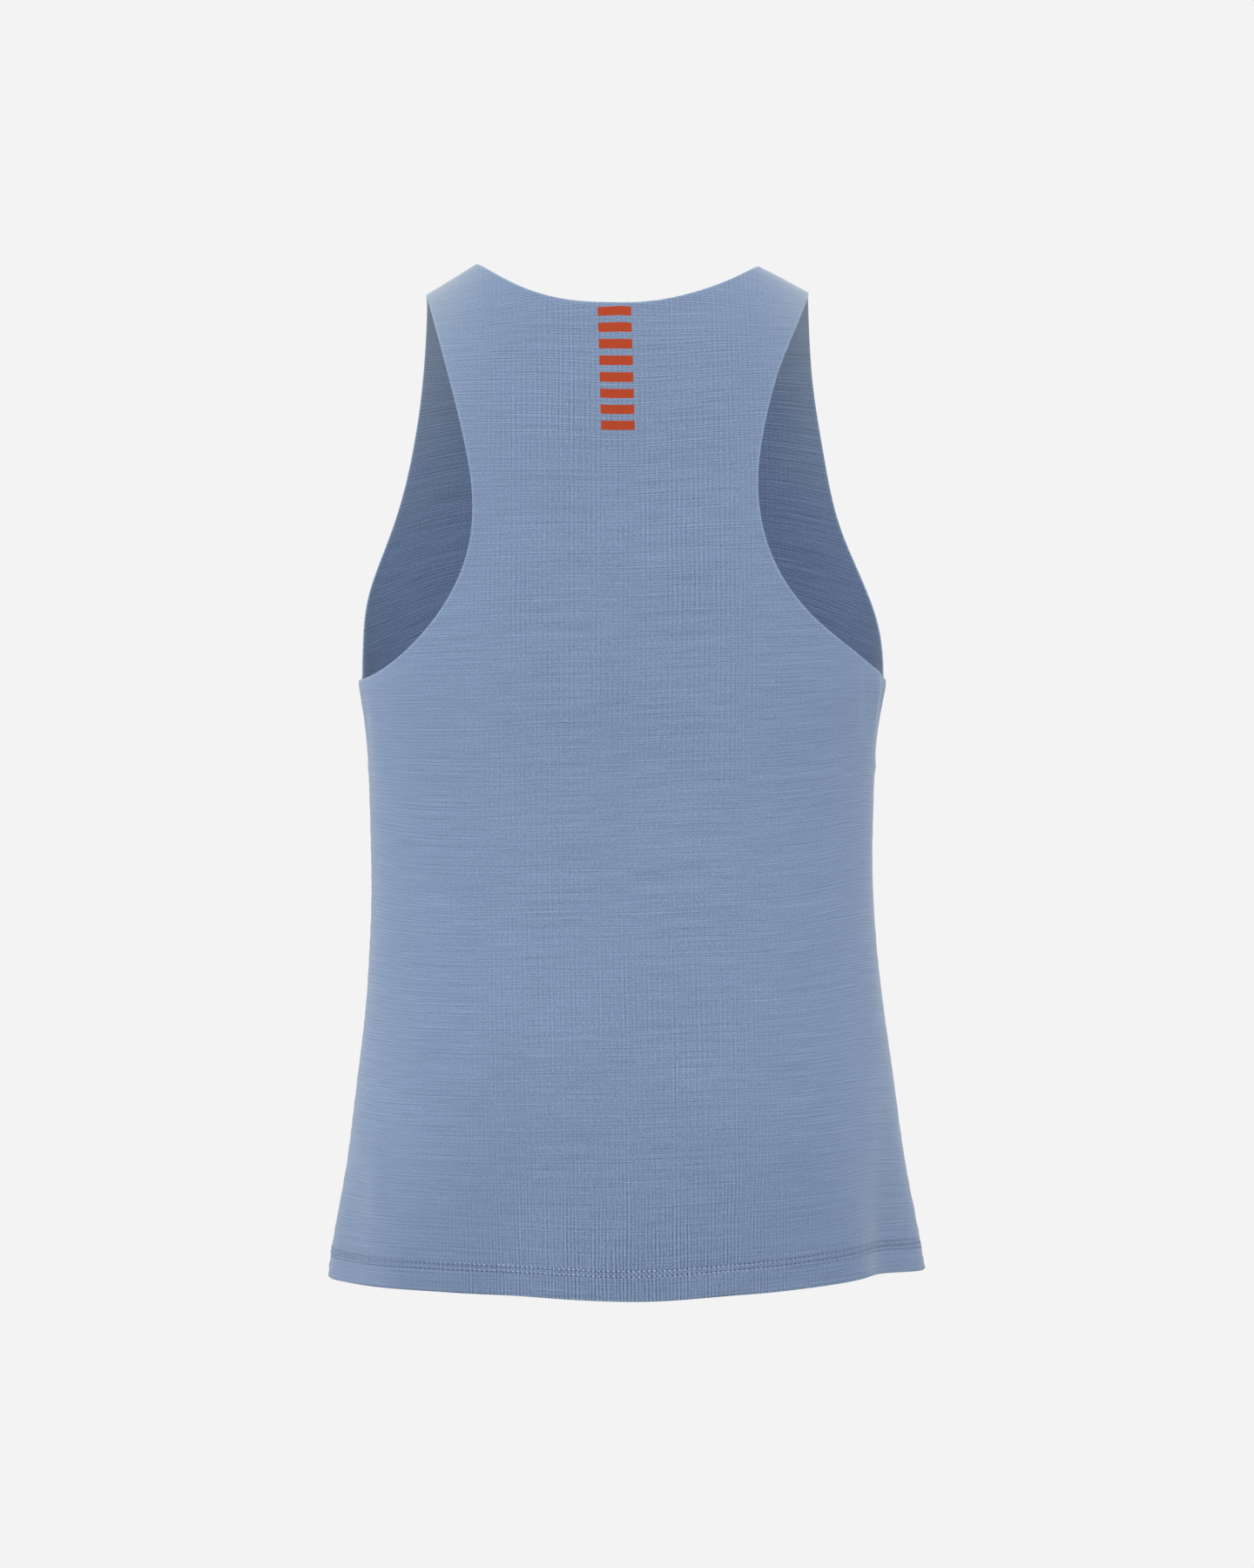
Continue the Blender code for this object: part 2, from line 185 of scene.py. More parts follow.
panels = (backCloth, frontCloth)


def bump(away, width):
    return np.exp(-((away / width) ** 2))


# Cubic spline through rising knots, with a given slope or no bend at each end
def spline(knots, values, at, firstSlope=None, lastSlope=None):
    knots, values, at = (np.asarray(a, float) for a in (knots, values, at))
    step = np.diff(knots)
    slope = np.diff(values) / step
    count = len(knots)
    system = np.eye(count)
    right = np.zeros(count)
    for i in range(1, count - 1):
        system[i, i - 1 : i + 2] = step[i - 1], 2 * (step[i - 1] + step[i]), step[i]
        right[i] = 6 * (slope[i] - slope[i - 1])
    if firstSlope is not None:
        system[0, :2] = 2 * step[0], step[0]
        right[0] = 6 * (slope[0] - firstSlope)
    if lastSlope is not None:
        system[-1, -2:] = step[-1], 2 * step[-1]
        right[-1] = 6 * (lastSlope - slope[-1])
    bend = np.linalg.solve(system, right)
    i = np.clip(np.searchsorted(knots, at) - 1, 0, count - 2)
    h, t = step[i], at - knots[i]
    return (
        values[i]
        + t * (slope[i] - h * (2 * bend[i] + bend[i + 1]) / 6)
        + t**2 * bend[i] / 2
        + t**3 * (bend[i + 1] - bend[i]) / (6 * h)
    )


# A measure of the rings at any height; it keeps the underarm's value above it
def ringSize(name, z):
    heights = [row[0] for row in rings]
    values = [row[ringColumns.index(name)] for row in rings]
    return spline(heights, values, np.clip(z, hemZ, underarmZ), None, 0.0)


# Across and out on a unit superellipse, at an angle from across
def superellipse(angle, power):
    size = (np.abs(np.cos(angle)) ** power + np.abs(np.sin(angle)) ** power) ** (-1 / power)
    return np.cos(angle) * size, np.sin(angle) * size


# The angle at which a unit superellipse is that share of the way across
def angleAt(share, power):
    share = np.clip(share, 1e-9, 1)
    return np.arctan2((1 - share**power) ** (1 / power), share)


# Shoulder line: straight on a strap, a parabola between the neck points; the right one is a little lower
def shoulderZ(x):
    reach = form["neckPointX"]
    share = np.clip(x / reach, -1, 1)
    top = crestZ - form["crestDrop"] * (1 - share) / 2
    past = np.maximum(np.abs(x) - reach, 0)
    between = np.maximum(reach**2 - np.square(x), 0) / (2 * reach)
    return top + np.interp(share, (-1, 1), form["shoulderFalls"]) * (between - past)


# Each large fold is a bell round the body that eases out as it climbs
def foldDepth(place, z):
    depth = np.zeros(np.broadcast(place, z).shape)
    for at, deepest, spread, deepZ, goneZ in largeFolds:
        away = (np.degrees(place) - at + 180) % 360 - 180
        along = np.clip((goneZ - z) / (goneZ - deepZ), 0, 1)
        depth += deepest * np.exp(-2 * (away / spread) ** 2) * along**2 * (3 - 2 * along)
    return depth


# Share of the climb from the underarm to the shoulder line at a level, and the level at a share
def climbOf(level):
    return np.clip((level - underarmZ) / (crestZ - underarmZ), 0, 1)


def levelOf(climbed):
    return underarmZ + climbed * (crestZ - underarmZ)


# Share of its depth that the top ring keeps at a share of the climb; the same formula leads back
def closing(piece, climbed):
    return (1 - climbed ** piece["risePower"]) ** (1 / piece["risePower"])


# Half width and squareness at the underarm, which the top ring keeps
def topRing(piece):
    names = "halfWidth", piece["side"] + "Square"
    return (float(ringSize(name, underarmZ)) for name in names)


# Ring below the underarm; above it the ring's depth closes as a superellipse of the climb's share
def formPoint(piece, turn, level):
    turn, level = np.broadcast_arrays(turn, level)
    low = np.minimum(level, underarmZ)
    climbed = climbOf(level)
    closed = closing(piece, climbed)
    place = turn if piece["facing"] > 0 else 2 * np.pi - turn
    push = foldDepth(place, low)
    across, out = superellipse(turn, ringSize(piece["side"] + "Square", low))
    x = (ringSize("halfWidth", low) + push) * across
    y = (ringSize(piece["side"], low) + push) * out * closed
    lift = spline(*np.array(hemLifts).T, np.degrees(place), 0.0, 0.0)
    lift = lift * ((underarmZ - low) / (underarmZ - hemZ)) ** 2
    z = low + lift + (shoulderZ(x) - underarmZ) * climbed
    middle = ringSize("middle", low)
    lean = np.where(climbed > 0, form["lean"] + (middle - form["lean"]) * closed, middle)
    return np.stack([x + lean, piece["facing"] * (y + form["seamGap"] / 2), z], axis=-1)


def unit(vectors):
    return vectors / np.linalg.norm(vectors, axis=-1, keepdims=True)


# Cross product of the two directions along the cloth, kept in the plane of any seam it lies on
def formNormal(piece, turn, level):
    turn, level = np.broadcast_arrays(turn, level)
    nudge = 1e-4
    low, high = np.maximum(level - nudge, hemZ), np.minimum(level + nudge, crestZ)
    roundIt = formPoint(piece, turn + nudge, level) - formPoint(piece, turn - nudge, level)
    upIt = formPoint(piece, turn, high) - formPoint(piece, turn, low)
    normal = piece["facing"] * np.cross(roundIt, upIt)
    onSeam = (turn < 1e-9) | (turn > np.pi - 1e-9) | (level > crestZ - 1e-9)
    normal[onSeam, 1] = 0
    return unit(normal)


flatTable = {"turns": 241, "bodyLevels": 90, "topLevels": 80}


# How far round and up the flat cloth a point lies, in metres from the centre line and the hem edge: the
# length along its level and the length up its column, read from a table of both
def measureFlat(piece):
    turns = np.linspace(0, np.pi, flatTable["turns"])
    middle = len(turns) // 2
    rise = crestZ - underarmZ
    body = np.linspace(hemZ, underarmZ, flatTable["bodyLevels"])
    top = underarmZ + rise * np.sin(np.linspace(0, np.pi / 2, flatTable["topLevels"])[1:])
    levels = np.concatenate([body, top])
    points = formPoint(piece, turns[None, :], levels[:, None])
    steps = np.linalg.norm(np.diff(points, axis=1), axis=-1)
    length = np.concatenate([np.zeros((len(levels), 1)), np.cumsum(steps, axis=1)], axis=1)
    climb = np.linalg.norm(np.diff(points, axis=0), axis=-1)
    climb = np.concatenate([np.zeros((1, len(turns))), np.cumsum(climb, axis=0)])
    piece["flat"] = np.stack([length[:, [middle]] - length, climb], axis=-1)
    piece["flatTurns"], piece["flatLevels"] = turns, levels
    piece["middleClimb"] = climb[:, middle]


def flatPlace(piece, turn, level):
    turn, level = np.broadcast_arrays(turn, level)
    table = piece["flat"]
    row = np.interp(level, piece["flatLevels"], np.arange(table.shape[0]))
    column = np.interp(turn, piece["flatTurns"], np.arange(table.shape[1]))
    i = np.minimum(row.astype(int), table.shape[0] - 2)
    j = np.minimum(column.astype(int), table.shape[1] - 2)
    a, b = (row - i)[..., None], (column - j)[..., None]
    low = table[i, j] * (1 - b) + table[i, j + 1] * b
    high = table[i + 1, j] * (1 - b) + table[i + 1, j + 1] * b
    place = low * (1 - a) + high * a
    return place[..., 0], place[..., 1]


# The turn at a length round the cloth, on one level
def turnAt(piece, across, level):
    turns = piece["flatTurns"]
    lengths = flatPlace(piece, turns, np.full_like(turns, level))[0]
    return np.interp(-np.asarray(across), -lengths, turns)


# Left and right edge of the armhole at a share of its length
def armholeEdge(piece, side, share):
    knots = piece["armholes"][0 if side > 0 else 1]
    half, square = topRing(piece)
    turn = np.radians([knot[0] for knot in knots])
    z = np.array([knot[1] for knot in knots])
    turn[-1] = angleAt(form["strapEndX"] / half, square)
    z[-1] = shoulderZ(side * form["strapEndX"])
    length = np.concatenate([[0], np.cumsum(np.hypot(np.diff(turn) * half, np.diff(z)))])
    length /= length[-1]
    turn = spline(length, turn, share)
    z = spline(length, z, share, 0.0, None)
    x = side * half * superellipse(turn, square)[0]
    climbed = np.where(share >= 1, 1.0, (z - underarmZ) / (shoulderZ(x) - underarmZ))
    return turn, levelOf(climbed)


# Level of the neckline at a turn, and of the shoulder seam past the neck points
def topLevel(piece, turn):
    half, square = topRing(piece)
    x = half * superellipse(turn, square)[0]
    left, right = piece["neckPowers"]
    share = np.abs(x) / form["neckPointX"]
    top = shoulderZ(np.sign(x) * form["neckPointX"])
    z = piece["neckZ"] + (top - piece["neckZ"]) * share ** np.where(x > 0, left, right)
    z = np.where(share > 1 - 1e-9, shoulderZ(x), z)
    return levelOf((z - underarmZ) / (shoulderZ(x) - underarmZ))


# Places at even lengths along a path of (turn, level) on the piece
def evenAlong(piece, turn, level, count):
    points = formPoint(piece, turn, level)
    length = np.concatenate([[0], np.cumsum(np.linalg.norm(np.diff(points, axis=0), axis=-1))])
    at = np.linspace(0, length[-1], count)
    return np.interp(at, length, turn), np.interp(at, length, level)


mesh = {
    "hemRows": 20, "seamRows": 80, "armholeRows": 92, "neckCells": 70, "strapCells": 26,
    "edgeCells": 1.35, "rowLag": 1.35, "edgePull": 1.8, "neckLean": 0.5, "rimSteps": 5,
    "pathSteps": 600, "evenSteps": 2001, "edgeSamples": 4, "seamNear": 0.0008, "seamBulge": 0.12,
}


# Rows from hem to top, columns from left to right. The ends of a row follow the side seam and then the
# armhole; in between, a row is an even share of the way up to the neckline, and lags behind its ends
def panelGrid(piece):
    half, square = topRing(piece)
    strapEnd, neckPoint = (angleAt(form[name] / half, square) for name in ("strapEndX", "neckPointX"))
    strap = (neckPoint - strapEnd) / (np.pi / 2 - strapEnd)
    onStrap = strap * np.linspace(0, 1, mesh["strapCells"] + 1) ** mesh["edgeCells"]
    left = np.concatenate([onStrap, np.linspace(strap, 1, mesh["neckCells"] + 1)[1:]])
    across = np.concatenate([left, 2 - left[-2::-1]])[None, :] / 2
    near = np.abs(1 - 2 * across)
    held = np.interp(near, (0, 1 - strap, 1), (0, mesh["neckLean"], 1))

    base = hemZ + form["hemFold"]
    rows = mesh["seamRows"] + mesh["armholeRows"] + 1
    fine = 1 - np.linspace(1, 0, mesh["pathSteps"]) ** 2
    edges = []
    for side in (1, -1):
        seam = np.linspace(base, underarmZ, mesh["seamRows"] + 1)
        turn, level = evenAlong(piece, *armholeEdge(piece, side, fine), mesh["armholeRows"] + 1)
        turn[0] = 0
        turn = np.concatenate([np.zeros(mesh["seamRows"]), turn])
        edges.append((turn, np.concatenate([seam[:-1], level])))
    levels = base + (crestZ - base) * fine
    even = evenAlong(piece, np.full(len(levels), neckPoint), levels, mesh["evenSteps"])[1]
    up = np.linspace(0, 1, rows) ** mesh["rowLag"]
    even = np.interp(up, np.linspace(0, 1, len(even)), even)[:, None]

    turn = edges[0][0][-1] + (np.pi - edges[1][0][-1] - edges[0][0][-1]) * across
    ends = np.where(across < 0.5, edges[0][1][:, None], edges[1][1][:, None])
    for side, (edgeTurn, _) in zip((1, -1), edges):
        lean = (edgeTurn - edgeTurn[-1])[:, None]
        lean = np.minimum(lean, 0) * near + np.maximum(lean, 0) * held
        turn = turn + side * lean * (side * (0.5 - across) > 0)
    share = (even - base) / (crestZ - base)
    level = base + (topLevel(piece, turn[-1:]) - base) * share
    level = level + near ** mesh["edgePull"] * (ends - even)
    low = np.linspace(hemZ, base, mesh["hemRows"] + 1)[:-1, None]
    level = np.concatenate([np.broadcast_to(low, (len(low), across.size)), level])
    turn = np.concatenate([np.broadcast_to(turn[:1], (len(low), across.size)), turn])
    return turn, level


sewing = {
    "stitchRows": (0.0140, 0.0172), "pitch": 0.0030, "rowDepth": 0.00022, "rowWidth": 0.0009,
    "pullUp": 0.0150, "pullReach": 0.0060, "hemPucker": 0.00018,
    "hemPuckerPace": (0.00125, 1.8, 0.0052), "seamPucker": 0.00030,
    "seamPuckerPace": (0.0019, 1.9, 0.0087), "seamPuckerReach": 0.006, "seamDip": 0.00050,
    "seamDipWidth": 0.0013, "fadeIn": 0.012,
}

# Slow unevenness across and up the cloth: depth, pace, how much it wanders and the pace of that. A pace is
# the length of one radian in metres; the shift tells the two panels apart
uneven = {"across": (0.00016, 0.0093, 2.1, 0.041), "up": (0.00014, 0.0127, 1.6, 0.033), "shift": 1.7}


# A sine along the cloth that wanders with a slower one; pace holds the first's, the wander and the second's
def wavy(at, pace, shift, turn=0.0):
    near, wander, far = pace
    return np.sin(at / near + wander * np.sin(at / far + shift + turn))


# How far the cloth stands out of its plain form: creases, the slow unevenness, the pull of the hem's stitch
# rows, the puckers beside the seams, and the dip where the panels are sewn together
def standOut(piece, turn, level):
    turn, level = np.broadcast_arrays(turn, level)
    across, up = flatPlace(piece, turn, level)
    out = np.zeros(across.shape)
    for row in piece["creases"]:
        crease = dict(zip(creaseColumns, row))
        middle = flatPlace(piece, np.radians(crease["turn"]), crease["z"])
        a, b = across - middle[0], up - middle[1]
        lean = np.radians(crease["lean"])
        along = a * np.sin(lean) + b * np.cos(lean)
        beside = a * np.cos(lean) - b * np.sin(lean)
        share = np.clip(2 * along / crease["length"], -1, 1)
        beside = beside - crease["bow"] * (1 - share**2)
        out += crease["depth"] * bump(beside, crease["width"]) * np.cos(share * np.pi / 2) ** 2

    shift = uneven["shift"] * piece["facing"]
    deep, near, wander, far = uneven["across"]
    out += deep * np.sin(across / near + wander * np.sin(up / far + shift) + shift)
    deep, near, wander, far = uneven["up"]
    out += deep * np.sin(up / near + wander * np.sin(across / far - shift))

    for height in sewing["stitchRows"]:
        out -= sewing["rowDepth"] * bump(up - height, sewing["rowWidth"])
    pull = bump(up - sewing["pullUp"], sewing["pullReach"])
    out += sewing["hemPucker"] * pull * wavy(across, sewing["hemPuckerPace"], shift)

    depth = ringSize(piece["side"], level)
    away = np.minimum(turn, np.pi - turn) * depth
    body = np.clip((underarmZ - level) / sewing["fadeIn"], 0, 1)
    ripple = wavy(up, sewing["seamPuckerPace"], shift, turn)
    out += body * sewing["seamPucker"] * ripple * np.exp(-away / sewing["seamPuckerReach"])
    # above the underarm the cloth's end is the free edge, so only the shoulder seam dips there
    out -= body * sewing["seamDip"] * bump(away, sewing["seamDipWidth"])
    climbed = climbOf(level)
    over = depth * np.sin(turn) * closing(piece, climbed)
    over = np.where(climbed > 0, over, 1.0)
    return out - sewing["seamDip"] * bump(over, sewing["seamDipWidth"])


# A point of the dressed cloth, moved in by inset
def clothPoint(piece, turn, level, inset=0.0):
    turn, level = np.broadcast_arrays(turn, level)
    out = standOut(piece, turn, level) - inset
    return formPoint(piece, turn, level) + out[..., None] * formNormal(piece, turn, level)


def quads(a):
    return np.stack([a[:-1, :-1], a[:-1, 1:], a[1:, 1:], a[1:, :-1]], axis=-1).reshape(-1, 4)


def placed(name, data):
    thing = bpy.data.objects.new(name, data)
    bpy.context.scene.collection.objects.link(thing)
    return thing


# A mesh object. It may carry two maps in metres, the flat place and the way to the cloth's free edge, and a
# lining: the material of the inner quads, and which they are
def meshObject(name, points, faces, material, flat=None, edge=None, lining=None):
    made = bpy.data.meshes.new(name)
    made.from_pydata(points.reshape(-1, 3).tolist(), [], faces.tolist())
    corners = np.zeros(len(made.loops), int)
    made.loops.foreach_get("vertex_index", corners)
    if flat is not None:
        free = np.full(len(flat), 1.0) if edge is None else edge
        for layerName, values in (("cloth", flat), ("edge", np.stack([free, free], axis=-1))):
            layer = made.uv_layers.new(name=layerName)
            layer.data.foreach_set("uv", values[corners].astype(np.float32).ravel())
    made.shade_smooth()
    made.materials.append(material)
    if lining is not None:
        inside, which = lining
        made.materials.append(inside)
        made.polygons.foreach_set("material_index", which.astype(np.int32))
    thing = placed(name, made)
    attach(thing, "root")
    return thing


# Distance from each point of a grid to the armhole and neck edges: its sides above the underarm and its
# top between the straps
def edgeDistance(points, firstRow):
    top = points[-1, mesh["strapCells"] : -mesh["strapCells"]]
    free = []
    for line in (points[firstRow:, 0], points[firstRow:, -1], top):
        at = np.linspace(0, len(line) - 1, mesh["edgeSamples"] * len(line))
        finer = [np.interp(at, np.arange(len(line)), line[:, k]) for k in range(3)]
        free.append(np.stack(finer, axis=-1))
    free = np.concatenate(free)
    rows = [np.sqrt(((row[:, None] - free) ** 2).sum(axis=-1)).min(axis=1) for row in points]
    return np.stack(rows)


courseShape = {"reach": 0.17, "limit": 8, "edgeStart": 0.06, "sagMiddle": -0.008, "sagWidth": 0.052}


# How far the knit courses lie below level at a flat place; past the reach they run level
def courseShift(piece, across, up):
    rows = np.array(piece["courses"])
    row = {name: np.interp(up, rows[:, 0], rows[:, k]) for k, name in enumerate(courseColumns)}
    limit = courseShape["limit"]
    near = across * (1 + (np.abs(across) / courseShape["reach"]) ** limit) ** (-1 / limit)
    shift = sum(row[name] * near**power for power, name in enumerate(courseColumns[1:5], 1))
    shift = shift + row["edge"] * np.maximum(np.abs(near) - courseShape["edgeStart"], 0) ** 2 / 2
    sag = bump(across - courseShape["sagMiddle"], courseShape["sagWidth"])
    return shift + row["sag"] * sag + row["strap"] * np.abs(across)


# Outer and inner grids of the same rows and columns, joined by a rounded rim round all four sides, which is
# nearly flat along the seams
def makePanel(piece, outside, inside):
    turn, level = panelGrid(piece)
    turn = np.broadcast_to(turn, level.shape)
    across, up = flatPlace(piece, turn, level)
    hem = up <= form["hemFold"]
    outer = clothPoint(piece, turn, level)
    inner = clothPoint(piece, turn, level, np.where(hem, 2 * form["cloth"], form["cloth"]))
    rows, columns = level.shape
    index = np.arange(rows * columns).reshape(rows, columns)
    ring = np.concatenate([index[0, :-1], index[:-1, -1], index[-1, :0:-1], index[:0:-1, 0]])
    a, b = outer.reshape(-1, 3)[ring], inner.reshape(-1, 3)[ring]
    normal = a - b
    radius = np.linalg.norm(normal, axis=-1, keepdims=True) / 2
    normal = normal / (2 * radius)
    tangent = np.roll(a, -1, axis=0) - np.roll(a, 1, axis=0)
    outwards = unit(np.cross(tangent, normal) * piece["facing"])
    onSeam = np.abs(a[:, 1]) < mesh["seamNear"]
    bulge = radius * np.where(onSeam, mesh["seamBulge"], 1.0)[:, None]
    angles = np.linspace(0, np.pi, mesh["rimSteps"] + 1)[1:-1, None, None]
    rim = (a + b) / 2 + radius * np.cos(angles) * normal + bulge * np.sin(angles) * outwards
    points = np.concatenate([outer.reshape(-1, 3), inner.reshape(-1, 3), rim.reshape(-1, 3)])
    start = 2 * rows * columns
    loops = [ring] + [start + k * len(ring) + np.arange(len(ring)) for k in range(len(angles))]
    loops = np.array(loops + [ring + rows * columns])
    loops = np.concatenate([loops, loops[:, :1]], axis=1)
    faces = np.concatenate([quads(index), quads(index + rows * columns)[:, ::-1], quads(loops)[:, ::-1]])
    if piece["facing"] < 0:
        faces = faces[:, ::-1]
    flat = np.stack([across, up + courseShift(piece, across, up)], axis=-1).reshape(-1, 2)
    edge = edgeDistance(outer, mesh["hemRows"] + mesh["seamRows"]).ravel()
    flat, edge = (np.concatenate([a, a] + [a[ring]] * len(angles)) for a in (flat, edge))
    within = np.arange(len(faces)) >= (rows - 1) * (columns - 1)
    thing = meshObject(piece["name"], points, faces, outside, flat, edge, (inside, within))
    upIt, roundIt = outer[1:, :-1] - outer[:-1, :-1], outer[:-1, 1:] - outer[:-1, :-1]
    piece["area"] = float(np.linalg.norm(np.cross(upIt, roundIt), axis=-1).sum())
    piece["cut"] = (float(across.max() - across.min()), float(up.max()))
    print(piece["name"], len(faces), "quads, area", round(piece["area"], 4), "cut", piece["cut"])
    return thing


# A socket in a node tree. Arithmetic on it, or with numbers, adds Math nodes
class Wire:
    def __init__(self, tree, socket):
        self.tree, self.socket = tree, socket

    # Adds any other node: its type, its settings, then its sockets' values or wires
    def node(self, kind, settings=None, output=0, **sockets):
        made = self.tree.nodes.new(kind)
        for name, value in (settings or {}).items():
            setattr(made, name, value)
        for name, value in sockets.items():
            socket = made.inputs[int(name[1:]) if name[1:].isdigit() else name]
            if isinstance(value, Wire):
                self.tree.links.new(value.socket, socket)
            else:
                socket.default_value = value
        return Wire(self.tree, made.outputs[output])

    def maths(self, operation, *values):
        sockets = {f"_{i}": value for i, value in enumerate(values)}
        return self.node("ShaderNodeMath", {"operation": operation}, **sockets)

    def part(self, vector, axis):
        return self.node("ShaderNodeSeparateXYZ", None, axis, Vector=vector)

    def blend(self, share, low, high):
        return self.node("ShaderNodeMix", {"data_type": "RGBA"}, 2, _0=share, _6=low, _7=high)

    # From 0 at start to 1 after the run
    def ramp(self, value, start, run):
        return self.maths("MINIMUM", self.maths("MAXIMUM", (value - start) / run, 0.0), 1.0)

    # 1 at nought, falling off to both sides; a higher power makes it flatter on top
    def bell(self, value, width, power=2.0):
        return self.maths("EXPONENT", (self.maths("ABSOLUTE", value) / width) ** power * -1.0)

    def __add__(self, other):
        return self.maths("ADD", self, other)

    def __sub__(self, other):
        return self.maths("SUBTRACT", self, other)

    def __rsub__(self, other):
        return self.maths("SUBTRACT", other, self)

    def __mul__(self, other):
        return self.maths("MULTIPLY", self, other)

    def __truediv__(self, other):
        return self.maths("DIVIDE", self, other)

    def __pow__(self, other):
        return self.maths("POWER", self, other)

    __radd__, __rmul__ = __add__, __mul__


# A new material, its tree's first wire and its shader
def newMaterial(name, **constants):
    made = bpy.data.materials.new(name)
    made.use_nodes = True
    tree = made.node_tree
    shader = tree.nodes["Principled BSDF"]
    for socket, value in constants.items():
        shader.inputs[socket.replace("_", " ")].default_value = value
    return made, Wire(tree, None), shader


def feed(wire, shader, socket):
    wire.tree.links.new(wire.socket, shader.inputs[socket])


# Zones in metres up the cloth, out from its middle or in from a free edge: a reach, or a place and a reach
zones = {
    # some zones place painted light and shade: the paler middle of the back, the darker hem and the
    # highlight along the free edges
    "hem": 0.085, "arms": (0.43, 0.055), "neck": (0.465, 0.055), "centre": 0.105, "paintedLight": (0.31, 0.11),
    "paintedHemShade": 0.075, "paintedEdgeReach": 0.0009, "strapEnd": (0.080, 0.034),
}

# Noises: features a metre across and up the cloth, detail, and an offset that sets each apart
noises = {
    "patches": (13, 9, 1.0, 3.1),
    "waleWander": (90, 30, 1.0, 1.7),
    "waleGrain": (760, 110, 1.0, 5.9),
    "courseWander": (14, 170, 1.0, 2.9),
    "longSlub": (13, 1300, 1.0, 0.0),
    "shortSlub": (45, 1700, 1.0, 7.3),
    "speckle": (1500, 1500, 0.0, 0.6),
    "fleck": (600, 1300, 0.0, 9.1),
    "broad": (9, 14, 1.0, 4.4),
}

# Wales and courses show as several sets of lines, each with a wavelength in metres, how much it wanders,
# and its strength by the hem, at the waist, under the arms and at the neck
jerseyLook = {
    "darkYarn": (0.104, 0.156, 0.265, 1), "lightYarn": (0.306, 0.414, 0.615, 1),
    "paintedHoleShade": (0.030, 0.050, 0.105, 1), "print": (0.440, 0.043, 0.004, 1), "roughness": 0.82,
    "roughSwing": 0.06, "specular": 0.25, "sheen": 0.26, "sheenRoughness": 0.45,
    "sheenTint": (1.0, 0.97, 0.88, 1), "slub": 0.170, "longSlub": 1.2, "slubZones": (0.85, 0.2, 0.2),
    "speckle": 0.35, "fleck": 0.5, "speckleZones": (0.6, 0.4), "patches": (1.5, 0.85, 0.25),
    "waleGrain": (0.04, 0.10), "broad": 0.03, "paintedEdgeHighlight": 0.22, "paintedLightBack": 0.07, "paintedHemShade": 0.08,
    "darkNeck": 0.03, "holeSize": (0.00055, 0.00048), "holeShade": 0.85, "groove": (0.75, 0.30),
    # painted highlight over the shoulders: its colour, its reach, and its share everywhere and at the strap
    # ends
    "crest": (0.440, 0.500, 0.515, 1), "crestReach": 0.054, "crestShares": (0.08, 0.34),
    "slubRelief": 0.06, "speckleRelief": 0.08, "holeRelief": 0.6, "bump": 0.35, "bumpDepth": 0.0003,
    "wales": (
        (0.00112, 2, 0.13, 0.02, 0.02, 0.03),
        (0.00209, 2.4, 0.19, 0.02, 0, 0.02),
        (0.00222, 2.2, 0.02, 0.045, 0.03, 0.05),
        (0.0024, 2.8, 0.13, 0, 0, 0.02),
        (0.00265, 1.6, 0, 0.015, 0.075, 0.015),
        (0.0032, 2, 0.04, 0.036, 0.05, 0.06),
    ),
    "courses": (
        (0.00122, 3, 0.045, 0.045, 0.055, 0.08),
        (0.00155, 3, 0.055, 0.07, 0.065, 0.13),
        (0.00202, 3, 0.02, 0.015, 0.055, 0.02),
        (0.00238, 3, 0.05, 0.035, 0.02, 0.075),
    ),
}

# A plain ladder of eight orange bars, printed below the back neck
ladder = {
    "bars": 8, "width": 0.0200, "height": 0.0790, "barShare": 0.58, "middle": 0.0036, "slant": -0.020,
    "drop": 0.0008, "flatter": 0.7, "glossier": 0.22,
}


